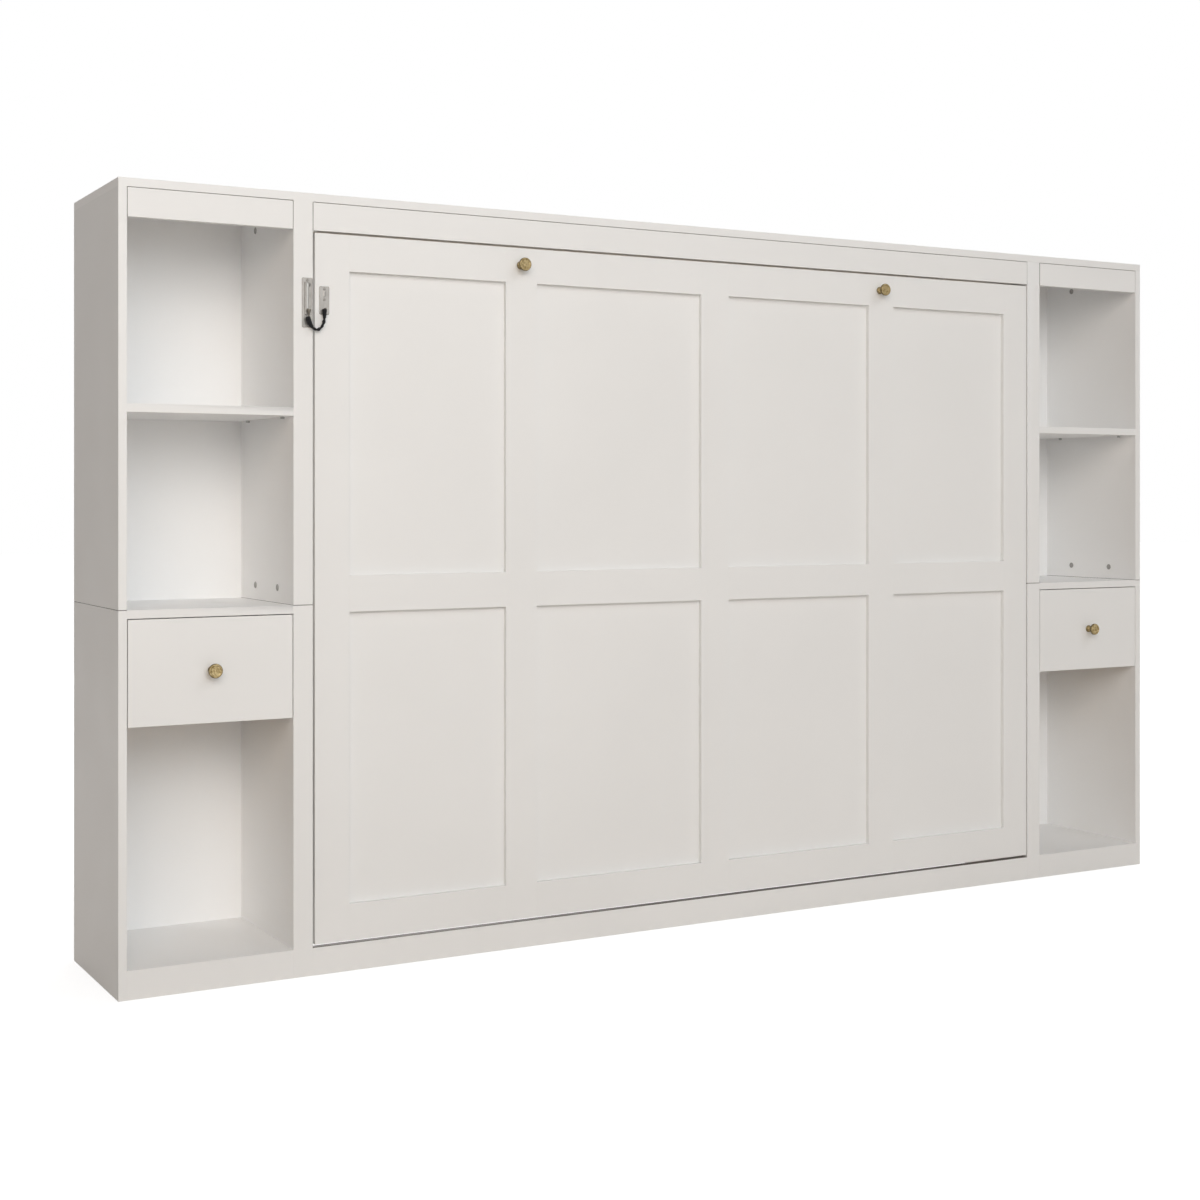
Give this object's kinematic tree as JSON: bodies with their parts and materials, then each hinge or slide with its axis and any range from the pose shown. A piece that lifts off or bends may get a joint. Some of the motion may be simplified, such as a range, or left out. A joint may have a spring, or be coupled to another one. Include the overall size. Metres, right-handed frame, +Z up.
{
  "type": "wall bed",
  "caption": "Horizontal wall bed: a panelled front folds down between open towers with shelves and drawers, on side pivots with gas struts and swing-out legs.",
  "frame": {"origin": "on the floor, under the middle of the closed bed's outline with its knobs", "axes": "+X along the width to the right as seen from the front, +Y from the front to the wall, +Z up"},
  "size_m": [2.894, 0.413, 1.7],
  "materials": {
    "white_paint": "smooth satin white paint on board",
    "raw_wood": "planed pine with a clear lacquer",
    "aged_brass": "aged brass, satin",
    "zinc_steel": "zinc plated steel",
    "latch_steel": "satin nickel plated steel",
    "black_steel": "black powder coat",
    "black_rubber": "matt black rubber",
    "black_sleeve": "black sleeve over a chain",
    "grey_webbing": "woven webbing",
    "grey_plastic": "grey push-in covers"
  },
  "bodies": {
    "cabinet": {"top_panel": "white_paint", "left_outer_side_upper": "white_paint", "left_outer_side_lower": "white_paint", "right_outer_side_upper": "white_paint", "right_outer_side_lower": "white_paint", "left_pillar_upper": "white_paint", "left_pillar_lower": "white_paint", "right_pillar_upper": "white_paint", "right_pillar_lower": "white_paint", "middle_boards": "white_paint", "shelves": "white_paint", "tower_floors": "white_paint", "tower_back_panels": "white_paint", "tower_fascias": "white_paint", "bed_fascia": "white_paint", "tower_plinths": "white_paint", "bed_plinth": "white_paint", "upper_wall_rail": "white_paint", "lower_wall_rail": "white_paint", "cam_lock_covers": "grey_plastic", "shelf_pins": "zinc_steel", "pivot_brackets": "zinc_steel", "pivot_pins": "black_steel", "strut_anchors": "zinc_steel", "drawer_tracks": "zinc_steel", "latch_track": "latch_steel", "latch_screws": "latch_steel"},
    "bed": {"front_board": "white_paint", "front_stiles": "white_paint", "front_rails": "white_paint", "front_knobs": "aged_brass", "frame_long_rails": "raw_wood", "frame_end_rails": "raw_wood", "frame_center_beam": "raw_wood", "slats": "raw_wood", "slat_ledges": "raw_wood", "mattress_straps": "grey_webbing", "pivot_plates": "zinc_steel", "pivot_bushes": "black_steel", "leg_pins": "black_steel", "latch_anchor": "latch_steel", "anchor_screws": "latch_steel"},
    "left_drawer": {"left_drawer_front": "white_paint", "left_drawer_box": "raw_wood", "left_drawer_knob": "aged_brass", "left_drawer_runners": "zinc_steel"},
    "right_drawer": {"right_drawer_front": "white_paint", "right_drawer_box": "raw_wood", "right_drawer_knob": "aged_brass", "right_drawer_runners": "zinc_steel"},
    "left_leg_body": {"left_leg": "black_steel", "left_leg_foot": "black_rubber"},
    "right_leg_body": {"right_leg": "black_steel", "right_leg_foot": "black_rubber"},
    "left_cylinder_body": {"left_strut_cylinder": "black_steel"},
    "right_cylinder_body": {"right_strut_cylinder": "black_steel"},
    "left_rod_body": {"left_strut_rod": "zinc_steel"},
    "right_rod_body": {"right_strut_rod": "zinc_steel"},
    "latch_stud_body": {"latch_stud": "latch_steel"},
    "safety_cord_body": {"safety_cord": "black_sleeve"}
  },
  "joints": [
    {"name": "bed_fold", "type": "hinge", "parent": "cabinet", "child": "bed", "pos_m": [0, -0.1335, 0.25], "axis": [1, 0, 0], "range_deg": [0, 90], "stiffness_Nm_per_rad": 106, "springref_deg": -22.92},
    {"name": "left_leg_swing", "type": "hinge", "parent": "bed", "child": "left_leg_body", "pos_m": [-0.993, -0.0935, 1.585], "axis": [1, 0, 0], "range_deg": [0, 270]},
    {"name": "right_leg_swing", "type": "hinge", "parent": "bed", "child": "right_leg_body", "pos_m": [0.993, -0.0935, 1.585], "axis": [1, 0, 0], "range_deg": [0, 270]},
    {"name": "left_strut_tilt", "type": "hinge", "parent": "cabinet", "child": "left_cylinder_body", "pos_m": [-1, -0.0335, 0.75], "axis": [1, 0, 0], "range_deg": [0, 13.73]},
    {"name": "right_strut_tilt", "type": "hinge", "parent": "cabinet", "child": "right_cylinder_body", "pos_m": [1, -0.0335, 0.75], "axis": [1, 0, 0], "range_deg": [0, 13.73]},
    {"name": "left_strut_stroke", "type": "slide", "parent": "left_cylinder_body", "child": "left_rod_body", "axis": [0, -0.1372, -0.9905], "range_m": [-0.164, 0]},
    {"name": "right_strut_stroke", "type": "slide", "parent": "right_cylinder_body", "child": "right_rod_body", "axis": [0, -0.1372, -0.9905], "range_m": [-0.164, 0]},
    {"name": "left_drawer_slide", "type": "slide", "parent": "cabinet", "child": "left_drawer", "axis": [0, -1, 0], "range_m": [0, 0.24]},
    {"name": "right_drawer_slide", "type": "slide", "parent": "cabinet", "child": "right_drawer", "axis": [0, -1, 0], "range_m": [0, 0.24]},
    {"name": "latch_stud_slide", "type": "slide", "parent": "cabinet", "child": "latch_stud_body", "axis": [0, 0, 1], "range_m": [0, 0.053]},
    {"name": "safety_cord_swing", "type": "hinge", "parent": "bed", "child": "safety_cord_body", "pos_m": [-0.999, -0.1885, 1.4505], "axis": [0, -1, 0], "range_deg": [0, 70]}
  ],
  "couplings": [
    {"joint": "left_leg_swing", "follows": "bed_fold", "ratio": 3},
    {"joint": "left_strut_tilt", "follows": "bed_fold", "ratio": 0.15233},
    {"joint": "left_strut_stroke", "follows": "bed_fold", "m_per_rad": -0.10419},
    {"joint": "right_leg_swing", "follows": "bed_fold", "ratio": 3},
    {"joint": "right_strut_tilt", "follows": "bed_fold", "ratio": 0.15233},
    {"joint": "right_strut_stroke", "follows": "bed_fold", "m_per_rad": -0.10419}
  ]
}
